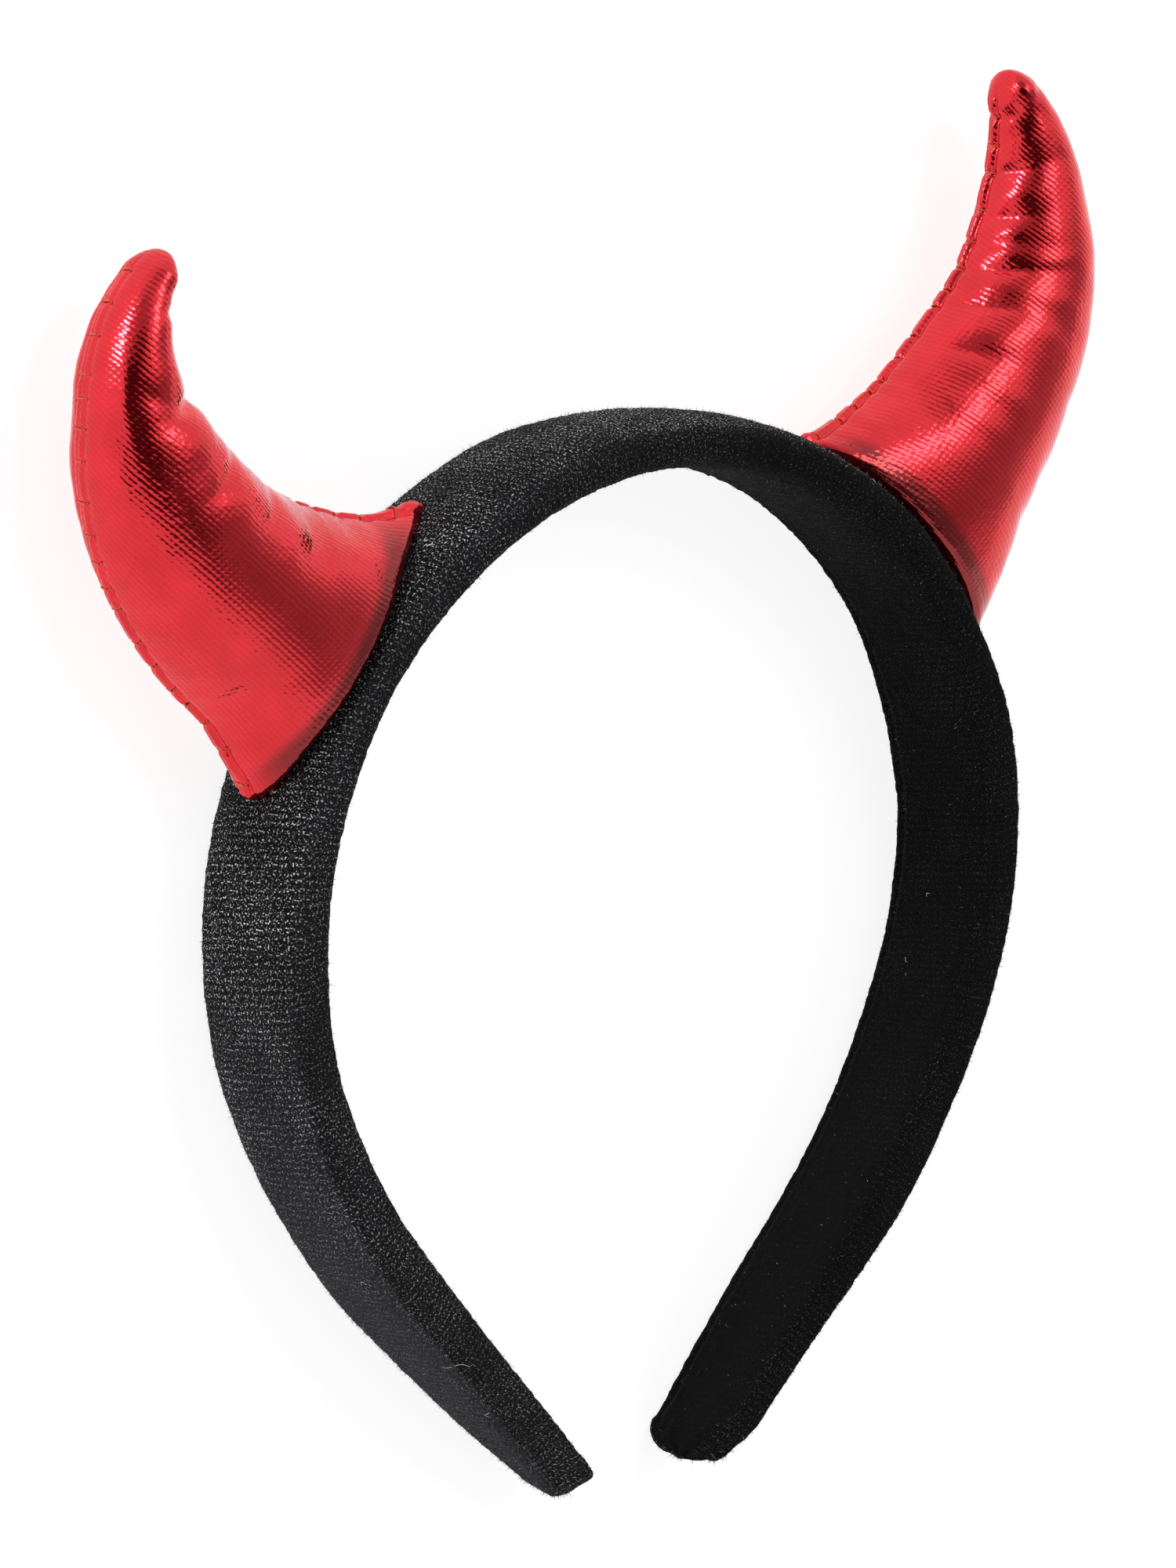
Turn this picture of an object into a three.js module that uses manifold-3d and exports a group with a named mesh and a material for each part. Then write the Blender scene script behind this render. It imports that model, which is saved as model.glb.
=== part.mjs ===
// Padded headband with two stuffed horns, lying on its side on its back edge.
// Millimetres. X runs across the wearer's head, Y up through the crown of the
// band, and Z from the back edge of the band, on the floor, to its front edge.
import * as THREE from 'three';
import { mergeVertices } from 'three/addons/utils/BufferGeometryUtils.js';
import Module from 'manifold-3d';

// Sizes of the band
const BAND_LENGTH = 417;        // tip to tip along the middle line
const BAND_WIDTH = 24;          // back edge to front edge at the crown
const BAND_THICKNESS = 9;       // inner face to outer face, padding included
const BACK_EDGE_SQUASH = 0.7;   // how far the padding flattens where it rests
const TIP_ROUNDING = 6;         // length of the rounding at each tip, seen from its face
const TIP_EDGE_ROUNDING = 3;    // the same seen from its edge

// Sizes of the horns
const HORN_FOOT = 45;           // length of a horn's foot along the band
const FOOT_EAR = 3.5;           // how far the crown end of a foot flares along the band
const HORN_DEPTH = 23;          // front panel to back panel where it is fullest
const LEFT_HORN_LENGTH = 76;    // along its middle line, from the band's middle line
const RIGHT_HORN_LENGTH = 81;
const HORN_TIP_ROUNDING = 4;    // length of the rounding at the tip
const SEAT_GAP = 0.3;           // between the band and a horn's foot

// The band from the crown (along 0) to a tip (along 1). Heading is the angle
// in degrees that the middle line has turned, width and thickness are shares
// of BAND_WIDTH and BAND_THICKNESS.
const BAND_ROWS = [
  { along: 0.0, heading: 0, width: 1.0, thickness: 0.9 },
  { along: 0.2, heading: 33, width: 0.985, thickness: 0.82 },
  { along: 0.4, heading: 70, width: 0.925, thickness: 0.84 },
  { along: 0.6, heading: 111, width: 0.82, thickness: 1.0 },
  { along: 0.8, heading: 133.5, width: 0.77, thickness: 0.98 },
  { along: 1.0, heading: 135, width: 0.67, thickness: 0.6 },
];

// A horn from its foot (along 0) to its tip (along 1). Turn is the angle in
// degrees that its middle line has curled towards the crown, width is a share
// of HORN_FOOT and depth a share of HORN_DEPTH.
const LEFT_HORN_ROWS = [
  { along: 0.0, turn: 0, width: 0.86, depth: 0.88 },
  { along: 0.13, turn: -1, width: 0.78, depth: 1.0 },
  { along: 0.26, turn: 1.5, width: 0.735, depth: 1.0 },
  { along: 0.39, turn: 12, width: 0.67, depth: 0.99 },
  { along: 0.51, turn: 22, width: 0.59, depth: 0.96 },
  { along: 0.64, turn: 34, width: 0.47, depth: 0.83 },
  { along: 0.72, turn: 46, width: 0.36, depth: 0.72 },
  { along: 0.8, turn: 60, width: 0.28, depth: 0.64 },
  { along: 0.87, turn: 76, width: 0.215, depth: 0.55 },
  { along: 0.94, turn: 89, width: 0.15, depth: 0.41 },
  { along: 1.0, turn: 97, width: 0.115, depth: 0.35 },
];
const RIGHT_HORN_ROWS = [
  { along: 0.0, turn: 0, width: 1.0, depth: 0.88 },
  { along: 0.13, turn: 0, width: 0.91, depth: 0.97 },
  { along: 0.25, turn: 2, width: 0.805, depth: 1.0 },
  { along: 0.37, turn: 7, width: 0.715, depth: 1.0 },
  { along: 0.48, turn: 14, width: 0.635, depth: 0.96 },
  { along: 0.58, turn: 27, width: 0.56, depth: 0.885 },
  { along: 0.67, turn: 38, width: 0.48, depth: 0.81 },
  { along: 0.76, turn: 47.5, width: 0.39, depth: 0.69 },
  { along: 0.84, turn: 58, width: 0.305, depth: 0.555 },
  { along: 0.92, turn: 70, width: 0.213, depth: 0.425 },
  { along: 1.0, turn: 72, width: 0.11, depth: 0.37 },
];

// Station is where the foot is centred, as a share of the way from the crown
// to the tip, and lean the angle in degrees that the horn starts off its
// upright on the band, towards the crown.
const HORNS = [
  { name: 'horn_left', side: -1, length: LEFT_HORN_LENGTH, station: 0.3, lean: -4.5, rows: LEFT_HORN_ROWS },
  { name: 'horn_right', side: 1, length: RIGHT_HORN_LENGTH, station: 0.284, lean: 2.5, rows: RIGHT_HORN_ROWS },
];

// Shape of the sections
const BAND_OUTER_POWER = 2.3;   // domed outer face of the band
const BAND_INNER_POWER = 3.2;   // flatter inner face, with tighter corners
const HORN_SEAM_POWER = 1.3;    // over 1 pinches the section at its two seams
const FOOT_BLEND = 0.24;        // share of a horn that still follows the band's curve
const EAR_END = 0.17;           // share of a horn where its foot's flare has died out
const EAR_POWER = 7;            // over 1 keeps the flare near the seam

// How finely the surfaces are divided
const BAND_STATIONS = 76;
const TIP_STATIONS = 5;
const BAND_SIDES = 26;
const HORN_STATIONS = 34;
const HORN_SIDES = 32;
const PATH_STEPS = 400;

const HALF_LENGTH = BAND_LENGTH / 2;
const toRadians = THREE.MathUtils.degToRad;

// Value of a column between the rows of a table, on a smooth curve through them
function follow(rows, column, along) {
  let i = rows.findIndex((row) => row.along >= along);
  i = Math.max(i < 0 ? rows.length - 1 : i, 1);
  const slopeAt = (k) => {
    const a = rows[Math.max(k - 1, 0)];
    const b = rows[Math.min(k + 1, rows.length - 1)];
    return (b[column] - a[column]) / (b.along - a.along);
  };
  const start = rows[i - 1];
  const end = rows[i];
  const span = end.along - start.along;
  const t = (along - start.along) / span;
  const t2 = t * t;
  const t3 = t2 * t;
  return (2 * t3 - 3 * t2 + 1) * start[column]
    + (t3 - 2 * t2 + t) * span * slopeAt(i - 1)
    + (3 * t2 - 2 * t3) * end[column]
    + (t3 - t2) * span * slopeAt(i);
}

// Points of a line that starts at (x, y) and keeps turning: headingAt gives
// its angle from +X in radians for each share of the length
function walk(x, y, length, headingAt) {
  const points = [new THREE.Vector2(x, y)];
  const step = length / PATH_STEPS;
  for (let i = 0; i < PATH_STEPS; i += 1) {
    const heading = headingAt((i + 0.5) / PATH_STEPS);
    x += Math.cos(heading) * step;
    y += Math.sin(heading) * step;
    points.push(new THREE.Vector2(x, y));
  }
  return (along) => {
    const place = THREE.MathUtils.clamp(along, 0, 1) * PATH_STEPS;
    const i = Math.min(Math.floor(place), PATH_STEPS - 1);
    return points[i].clone().lerp(points[i + 1], place - i);
  };
}

// Half of the band's middle line, from the crown at the origin down to a tip
const bandHeading = (along) => toRadians(follow(BAND_ROWS, 'heading', along));
const halfArch = walk(0, 0, HALF_LENGTH, (along) => -bandHeading(along));

// The band lies on its back edge, so its middle line is half its width above
// the floor, less the squash, and its middle plane tilts as the width tapers
const bandHalfWidth = (along) => follow(BAND_ROWS, 'width', along) * BAND_WIDTH / 2;
const bandMiddle = (along) => bandHalfWidth(along) - BACK_EDGE_SQUASH;
const MIDDLE_TILT = (bandMiddle(0) - bandMiddle(1)) / -halfArch(1).y;
const middleHeight = (y) => bandMiddle(0) + MIDDLE_TILT * y;

const bend = (value, power) => Math.sign(value) * Math.abs(value) ** power;

// Closed skin over rings of points that all have the same number of points,
// with a point at each end
function skin(rings, startPoint, endPoint) {
  const sides = rings[0].length;
  const points = [...rings.flat(), startPoint, endPoint];
  const index = [];
  for (let i = 0; i < rings.length - 1; i += 1) {
    for (let j = 0; j < sides; j += 1) {
      const a = i * sides + j;
      const b = i * sides + (j + 1) % sides;
      index.push(a, b, b + sides, a, b + sides, a + sides);
    }
  }
  const last = (rings.length - 1) * sides;
  for (let j = 0; j < sides; j += 1) {
    const next = (j + 1) % sides;
    index.push(points.length - 2, next, j);
    index.push(points.length - 1, last + j, last + next);
  }
  const geometry = new THREE.BufferGeometry().setFromPoints(points);
  geometry.setIndex(index);
  return geometry;
}

// How full a section still is near a rounded end that is `rounding` long
function roundedEnd(distance, rounding) {
  const t = THREE.MathUtils.clamp(distance / rounding, 0, 1);
  return Math.sqrt(t * (2 - t));
}

// The padded band, or the same shape grown by `grow` on every side
function bandGeometry(grow) {
  const half = HALF_LENGTH + grow;
  const rings = bandRuns(half).map((run) => bandRing(run, half, grow));
  return skin(rings, bandRingPoint(-1, half, 0, 0), bandRingPoint(1, half, 0, 0));
}

// Where the band's sections lie, from just inside -1 at the left tip to just
// inside 1 at the right one, with closer sections round each tip
function bandRuns(half) {
  const tip = TIP_ROUNDING / half;
  const runs = [];
  for (let i = 1; i < TIP_STATIONS; i += 1) {
    runs.push(tip * (1 - Math.cos(Math.PI / 2 * i / TIP_STATIONS)) - 1);
  }
  const ends = runs.map((run) => -run).reverse();
  for (let i = 0; i <= BAND_STATIONS; i += 1) {
    runs.push(THREE.MathUtils.lerp(tip - 1, 1 - tip, i / BAND_STATIONS));
  }
  return [...runs, ...ends];
}

// One section of the band
function bandRing(run, half, grow) {
  const along = Math.abs(run);
  const left = (1 - along) * half;
  const halfWidth = (bandHalfWidth(along) + grow) * roundedEnd(left, TIP_ROUNDING);
  const fullThickness = follow(BAND_ROWS, 'thickness', along) * BAND_THICKNESS;
  const halfThickness = (fullThickness / 2 + grow) * roundedEnd(left, TIP_EDGE_ROUNDING);
  const ring = [];
  for (let j = 0; j < BAND_SIDES; j += 1) {
    const angle = 2 * Math.PI * j / BAND_SIDES;
    const power = 2 / (Math.cos(angle) > 0 ? BAND_OUTER_POWER : BAND_INNER_POWER);
    const out = halfThickness * bend(Math.cos(angle), power);
    const up = halfWidth * bend(Math.sin(angle), power);
    ring.push(bandRingPoint(run, half, out, up, grow));
  }
  return ring;
}

// A point `out` from the middle line, away from the head, and `up` towards the
// front edge, never below the floor that the back edge rests on
function bandRingPoint(run, half, out, up, grow = 0) {
  const along = Math.abs(run);
  const side = Math.sign(run) || 1;
  const heading = bandHeading(along);
  const middle = halfArch(along);
  const beyond = (half - HALF_LENGTH) * along;
  const x = side * (middle.x + Math.cos(heading) * beyond + Math.sin(heading) * out);
  const y = middle.y - Math.sin(heading) * beyond + Math.cos(heading) * out;
  return new THREE.Vector3(x, y, Math.max(bandMiddle(along) + up, -grow));
}

// One stuffed horn of two panels that meet in a seam on the curl's inside and
// another on its outside. Its foot starts inside the band and is cut away there.
function hornGeometry(horn) {
  const root = halfArch(horn.station);
  const upright = Math.PI / 2 - bandHeading(horn.station);
  const headingAt = (along) => upright + toRadians(horn.lean + follow(horn.rows, 'turn', along));
  const path = walk(root.x, root.y, horn.length, headingAt);
  const rings = [];
  for (let i = 0; i < HORN_STATIONS; i += 1) {
    const along = Math.sin(Math.PI / 2 * i / HORN_STATIONS);
    rings.push(hornRing(horn, along, path, headingAt(along)));
  }
  const onAxis = (point) => new THREE.Vector3(horn.side * point.x, point.y, middleHeight(point.y));
  const geometry = skin(rings, onAxis(root), onAxis(path(1)));
  return horn.side > 0 ? geometry : flipped(geometry);
}

// One section of a horn, starting at its inner seam, over the front panel to
// its outer seam and back over the back panel
function hornRing(horn, along, path, heading) {
  const full = roundedEnd((1 - along) * horn.length, HORN_TIP_ROUNDING);
  const halfWidth = follow(horn.rows, 'width', along) * HORN_FOOT / 2 * full;
  const halfDepth = follow(horn.rows, 'depth', along) * HORN_DEPTH / 2 * full;
  const middle = path(along);
  const travelled = middle.clone().sub(path(0));
  const straight = THREE.MathUtils.smoothstep(along, 0, FOOT_BLEND);
  const ear = FOOT_EAR * (1 - THREE.MathUtils.smoothstep(along, 0, EAR_END));
  const ring = [];
  for (let j = 0; j < HORN_SIDES; j += 1) {
    const angle = 2 * Math.PI * j / HORN_SIDES;
    const across = Math.cos(angle);
    const towardsCrown = across * HORN_FOOT / 2 + ear * Math.max(across, 0) ** EAR_POWER;
    const onBand = halfArch(horn.station - towardsCrown / HALF_LENGTH).add(travelled);
    const point = new THREE.Vector2(-Math.sin(heading), Math.cos(heading))
      .multiplyScalar(across * halfWidth)
      .add(middle);
    point.lerp(onBand, 1 - straight);
    const depth = halfDepth * bend(Math.sin(angle), HORN_SEAM_POWER);
    ring.push(new THREE.Vector3(horn.side * point.x, point.y, Math.max(middleHeight(point.y) + depth, 0)));
  }
  return ring;
}

// The same geometry with every triangle turned to face the other way
function flipped(geometry) {
  const index = Array.from(geometry.index.array);
  for (let i = 0; i < index.length; i += 3) {
    [index[i + 1], index[i + 2]] = [index[i + 2], index[i + 1]];
  }
  geometry.setIndex(index);
  return geometry;
}

const wasm = await Module();
wasm.setup();

function toSolid(geometry) {
  const merged = mergeVertices(geometry);
  return new wasm.Manifold(new wasm.Mesh({
    numProp: 3,
    vertProperties: new Float32Array(merged.attributes.position.array),
    triVerts: new Uint32Array(merged.index.array),
  }));
}

function toGeometry(solid) {
  const mesh = solid.getMesh();
  const geometry = new THREE.BufferGeometry();
  geometry.setAttribute('position', new THREE.BufferAttribute(mesh.vertProperties, 3));
  geometry.setIndex(new THREE.BufferAttribute(mesh.triVerts, 1));
  return geometry;
}

function addMesh(group, name, geometry, material) {
  const mesh = new THREE.Mesh(geometry, material);
  mesh.name = name;
  group.add(mesh);
}

const velvet = new THREE.MeshStandardMaterial({ color: 0x17171a, roughness: 0.9, metalness: 0.0 });
const foil = new THREE.MeshStandardMaterial({ color: 0xc3122b, roughness: 0.32, metalness: 0.75 });

// The seat that each horn's foot is cut to lies a gap outside the band
const seat = toSolid(bandGeometry(SEAT_GAP));
const headpiece = new THREE.Group();
addMesh(headpiece, 'headband', bandGeometry(0), velvet);
for (const horn of HORNS) {
  addMesh(headpiece, horn.name, toGeometry(toSolid(hornGeometry(horn)).subtract(seat)), foil);
}

// The origin is under the middle of the whole headpiece, on the floor
const bounds = new THREE.Box3().setFromObject(headpiece);
const centre = bounds.getCenter(new THREE.Vector3());
headpiece.position.set(-centre.x, -centre.y, -bounds.min.z);

export default headpiece;
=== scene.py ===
import math

import bpy
import numpy as np
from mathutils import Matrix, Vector


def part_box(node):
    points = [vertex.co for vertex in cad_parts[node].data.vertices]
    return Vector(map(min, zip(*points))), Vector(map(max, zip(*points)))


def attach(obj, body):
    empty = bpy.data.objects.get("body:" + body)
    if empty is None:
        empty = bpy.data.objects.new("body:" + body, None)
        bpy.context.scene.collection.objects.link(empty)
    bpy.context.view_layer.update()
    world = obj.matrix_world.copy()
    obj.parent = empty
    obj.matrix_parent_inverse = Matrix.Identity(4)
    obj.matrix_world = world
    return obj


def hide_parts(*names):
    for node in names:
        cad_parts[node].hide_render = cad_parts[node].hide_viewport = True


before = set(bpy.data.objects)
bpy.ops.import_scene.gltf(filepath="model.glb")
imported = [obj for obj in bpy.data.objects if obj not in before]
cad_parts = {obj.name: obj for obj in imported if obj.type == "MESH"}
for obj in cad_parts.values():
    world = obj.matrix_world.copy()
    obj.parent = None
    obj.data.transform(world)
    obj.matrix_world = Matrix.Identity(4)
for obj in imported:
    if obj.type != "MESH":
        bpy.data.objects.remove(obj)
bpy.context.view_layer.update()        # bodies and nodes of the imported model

bl_info = {
    "name": "Devil Horns Headband",
    "version": (1, 0, 0),
    "blender": (4, 5, 0),
    "location": "View3D > Sidebar > Headband",
    "description": "Padded velvet headband with two stuffed foil horns",
    "category": "Add Mesh",
}

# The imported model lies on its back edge: X across the head, Y from the open
# tips to the crown, Z from the floor to the front edge, in metres.
MM = 0.001

# The band from the crown (0) to a tip (1): share of the way, degrees that the
# middle line has turned, and shares of the width and of the thickness.
BAND_ROWS = np.array([
    (0.0, 0.0, 1.0, 0.9),
    (0.2, 33.0, 0.985, 0.82),
    (0.4, 70.0, 0.925, 0.84),
    (0.6, 111.0, 0.82, 1.0),
    (0.8, 133.5, 0.77, 0.98),
    (1.0, 135.0, 0.67, 0.6),
])

# A horn from its foot (0) to its tip (1): share of the way, degrees that its
# middle line has curled, and shares of the foot's length and of the depth.
LEFT_HORN_ROWS = np.array([
    (0.0, 0.0, 0.86, 0.88),
    (0.13, -1.0, 0.78, 1.0),
    (0.26, 1.5, 0.735, 1.0),
    (0.39, 12.0, 0.67, 0.99),
    (0.51, 22.0, 0.59, 0.96),
    (0.64, 34.0, 0.47, 0.83),
    (0.72, 46.0, 0.36, 0.72),
    (0.8, 60.0, 0.28, 0.64),
    (0.87, 76.0, 0.215, 0.55),
    (0.94, 89.0, 0.15, 0.41),
    (1.0, 97.0, 0.115, 0.35),
])
RIGHT_HORN_ROWS = np.array([
    (0.0, 0.0, 1.0, 0.88),
    (0.13, 0.0, 0.91, 0.97),
    (0.25, 2.0, 0.805, 1.0),
    (0.37, 7.0, 0.715, 1.0),
    (0.48, 14.0, 0.635, 0.96),
    (0.58, 27.0, 0.56, 0.885),
    (0.67, 38.0, 0.48, 0.81),
    (0.76, 47.5, 0.39, 0.69),
    (0.84, 58.0, 0.305, 0.555),
    (0.92, 70.0, 0.213, 0.425),
    (1.0, 72.0, 0.11, 0.37),
])

# Dents of a horn's front panel: share along the horn, share across the panel
# from the inner seam, degrees between the dent and the horn's length, half
# length, half width and depth in mm. A negative depth is a bulge.
LEFT_DENTS = np.array([
    (0.950, 0.45, 90.0, 2.5, 1.6, -0.30),
    (0.895, 0.28, 100.0, 4.0, 1.0, 0.50),
    (0.770, 0.34, 90.0, 4.5, 2.2, -0.35),
    (0.705, 0.30, 97.0, 5.5, 1.3, 0.70),
    (0.635, 0.38, 90.0, 5.0, 3.0, -0.50),
    (0.545, 0.32, 90.0, 5.5, 1.2, 0.45),
    (0.485, 0.36, 90.0, 5.5, 3.0, -0.45),
    (0.400, 0.25, 85.0, 5.0, 1.5, 0.30),
    (0.330, 0.30, 90.0, 5.0, 3.0, -0.30),
    (0.260, 0.22, 85.0, 5.0, 1.6, 0.25),
    (0.190, 0.24, 90.0, 5.0, 3.0, -0.30),
    (0.720, 0.71, 4.0, 7.0, 0.9, -0.12),
])
RIGHT_DENTS = np.array([
    (0.975, 0.45, 90.0, 2.0, 1.4, -0.20),
    (0.950, 0.68, 90.0, 2.2, 0.8, 0.30),
    (0.932, 0.10, 85.0, 3.0, 0.8, 0.45),
    (0.873, 0.25, 85.0, 3.0, 1.8, -0.35),
    (0.823, 0.20, 85.0, 3.5, 0.9, 0.35),
    (0.770, 0.24, 80.0, 3.5, 2.2, -0.40),
    (0.725, 0.20, 80.0, 3.5, 0.9, 0.30),
    (0.690, 0.20, 80.0, 3.5, 1.5, -0.30),
    (0.645, 0.20, 80.0, 3.5, 1.5, -0.30),
    (0.605, 0.22, 80.0, 4.5, 1.0, 0.40),
    (0.560, 0.25, 75.0, 4.5, 2.2, -0.35),
    (0.500, 0.22, 75.0, 5.0, 1.2, 0.30),
    (0.440, 0.28, 75.0, 5.0, 2.4, -0.30),
    (0.385, 0.25, 75.0, 5.0, 1.4, 0.25),
    (0.640, 0.44, 85.0, 4.5, 1.5, -0.15),
    (0.565, 0.46, 85.0, 5.0, 1.7, -0.20),
    (0.490, 0.46, 85.0, 5.0, 1.8, -0.18),
    (0.345, 0.42, 85.0, 6.0, 2.0, -0.20),
    (0.270, 0.40, 85.0, 6.0, 2.0, -0.20),
])

# Lint on the velvet, and the dry glue that shows at the left horn's foot: run
# in mm from the crown, degrees round the section, degrees of heading, and
# length and wave in mm
LINT = np.array([
    (-183.3, 33.8, 20.0, 1.8, 0.35),
    (-171.0, 60.0, 120.0, 4.2, 0.5),
    (-151.8, 9.3, 70.0, 1.6, 0.3),
    (125.3, 186.5, 130.0, 1.0, 0.15),
    (114.6, 181.1, 30.0, 0.8, 0.2),
    (40.3, 61.1, 100.0, 1.0, 0.2),
])
GLUE_BITS = np.array([
    (-81.6, 6.0, 75.0, 1.5, 0.25),
    (-82.3, 357.0, 120.0, 1.4, 0.2),
    (-43.4, 29.0, 20.0, 1.0, 0.2),
    (-42.9, 22.0, 60.0, 0.7, 0.1),
])

CAMERA_PLACE = (-0.759076, 0.182628, 0.778852)
CAMERA_TURN = (-8.27944, -44.64283, -1.64678)   # degrees about X, Y and Z

# Dark corners of the room: direction, degrees at which the dark begins to fade
# and has gone, and the share of the room's light that is left
DARK_CORNERS = (
    ((-0.6253, 0.0924, 0.7749), 17, 28, 0.02),
    ((-0.3094, -0.1146, 0.944), 12, 25, 0.03),
    ((0.1165, -0.2616, 0.9581), 9, 24, 0.12),
    ((0.5341, -0.2378, 0.8113), 8, 26, 0.3),
    ((0.7853, -0.1546, 0.5995), 8, 26, 0.4),
    ((-0.437, 0.66, 0.611), 12, 32, 0.42),
)

PATH_STEPS = 400
BAND_OUTER_POWER = 2.3      # domed outer face of the band at the crown
BAND_INNER_POWER = 3.2      # flatter inner face, with tighter corners
BAND_LIMB_POWER = 4.6       # squarer section down both limbs, at its front edge
BAND_LIMB_BACK_POWER = 2.7  # and rounder at its back edge
BAND_LIMB_SHARE = 0.93      # of the solid's thickness there, because a squarer section looks thicker
LIMB_START, LIMB_END = 0.32, 0.6    # shares of the way from crown to tip between which it gets squarer
SLANT, SLANT_START = 0.72, 0.042    # the front edge slants back near the left tip
BAND_STATIONS = 720
BAND_TIP_STATIONS = 14
BAND_SIDES = 132
PILE_TUFTS = 30000          # spikes of pile that stand out from the velvet
BAND_SEAM_ANGLE = math.radians(222)   # round the section, from the outer face over the front edge

HORN_FULLNESS = 0.955       # share of the solid's section sizes, because its seams are pinched harder
HORN_PINCH = 0.05           # how much flatter than an ellipse a section is between seam and panel middle
TWIST_END = 0.3             # share of a horn where its seam has turned all the way
FOOT_BLEND = 0.24           # share of a horn that still follows the band's curve
EAR_END = 0.17              # share of a horn where its foot's flare has died out
EAR_POWER = 7
HORN_TIP_ROUNDING = 4 * MM
HEM_STEPS = np.array([0, 0.12, 0.25, 0.4, 0.55, 0.75, 0.95, 1.2, 1.5, 1.9, 2.4, 2.9]) * MM
HORN_STATIONS = 210
HORN_TIP_STATIONS = 12
CAP_STATIONS = 7
RIM_STEPS = np.array([0, 0.12, 0.25, 0.4, 0.55, 0.7, 0.85, 1.0, 1.15, 1.3, 1.5, 1.75, 2.1, 2.6, 3.2]) * MM
THREAD_COLUMN = 9           # where RIM_STEPS reaches the bottom of the sewn groove
RIM_FULL_DEPTH = 5.5 * MM   # a horn shallower than this has a smaller rim
PANEL_STEPS = 24
CLOTH_ROWS, CLOTH_SIDES = 128, 72   # grid of the cloth simulation
CLOTH_END = 0.985           # share of a horn where that grid ends
CLOTH_SCALE = 20            # the simulation works on a horn this much larger
CLOTH_FRAMES = 24
CLOTH_BENDING = 0.3
CLOTH_PRESSURE = 5.0
CLOTH_SPARE_LEAST, CLOTH_SPARE_MOST = 0.02, 0.1    # how much too large the cloth is
STUFFING_CAP = 1.5 * MM     # furthest that stuffing moves a point of the cloth
STUFFING_FULL_DEPTH = 9 * MM    # a horn shallower than this wrinkles less
NOISE_TABLE = 32


def follow(rows, along):
    """Columns of a table at each share: a cubic between two rows, whose slope
    at a row is the slope of the chord between that row's neighbours."""
    at = rows[:, 0]
    last = len(at) - 1
    k = np.arange(last + 1)
    before, after = np.maximum(k - 1, 0), np.minimum(k + 1, last)
    slope = (rows[after, 1:] - rows[before, 1:]) / (at[after] - at[before])[:, None]
    i = np.clip(np.searchsorted(at, along, side="left"), 1, last)
    span = (at[i] - at[i - 1])[..., None]
    t = (np.asarray(along) - at[i - 1])[..., None] / span
    return ((2 * t**3 - 3 * t**2 + 1) * rows[i - 1, 1:] + (t**3 - 2 * t**2 + t) * span * slope[i - 1]
            + (3 * t**2 - 2 * t**3) * rows[i, 1:] + (t**3 - t**2) * span * slope[i])


def walked(start, length, headings):
    """Line of equal steps from a start, each step along its own heading."""
    moves = np.stack([np.cos(headings), np.sin(headings)], axis=1) * length / len(headings)
    return np.vstack([start, start + np.cumsum(moves, axis=0)])


def on_line(line, along):
    """Point of a line at each share of its length."""
    share = np.linspace(0, 1, len(line))
    return np.stack([np.interp(along, share, line[:, k]) for k in (0, 1)], axis=-1)


def bend(value, power):
    """Power of a value's size, with the value's sign."""
    return np.sign(value) * np.abs(value) ** power


def smooth_step(value, start, end):
    """0 before start, 1 after end, and 3t squared less 2t cubed between."""
    t = np.clip((value - start) / (end - start), 0, 1)
    return t * t * (3 - 2 * t)


def rounded_end(distance, rounding):
    """Quarter circle: 0 at the end of a form, 1 from `rounding` inwards."""
    t = np.clip(distance / rounding, 0, 1)
    return np.sqrt(t * (2 - t))


def bell(value, width):
    """1 at 0, falling off as e to the minus square of value over width."""
    return np.exp(-(value / width) ** 2)


def soft_noise(points, size, seed):
    """Noise of about -1 to 1 in space: random heights at the corners of cubes
    of that size, blended inside each cube by the smooth step."""
    table = np.random.default_rng(seed).uniform(-1, 1, (NOISE_TABLE,) * 3)
    place = points / size
    corner = np.floor(place).astype(int)
    t = place - corner
    t = t * t * (3 - 2 * t)
    total = 0
    for step in np.ndindex(2, 2, 2):
        i, j, k = ((corner[..., n] + step[n]) % NOISE_TABLE for n in range(3))
        weight = np.prod([t[..., n] if step[n] else 1 - t[..., n] for n in range(3)], axis=0)
        total = total + table[i, j, k] * weight
    return total


def outward(grid):
    """Unit normals of a grid that is closed round: the cross product of its
    two directions, turned away from the middle of each ring."""
    down = np.gradient(grid, axis=0)
    round_ = np.roll(grid, -1, axis=1) - np.roll(grid, 1, axis=1)
    normal = np.cross(down, round_)
    normal /= np.linalg.norm(normal, axis=-1, keepdims=True) + 1e-12
    away = grid - grid.mean(axis=1, keepdims=True)
    return normal * np.sign((normal * away).sum(axis=-1).mean())


def arc_round(grid):
    """Distance round each ring from its first column, with the closing step
    as a last column."""
    steps = np.linalg.norm(np.roll(grid, -1, axis=1) - grid, axis=-1)
    return np.concatenate([np.zeros((len(grid), 1)), np.cumsum(steps, axis=1)], axis=1)


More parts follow.
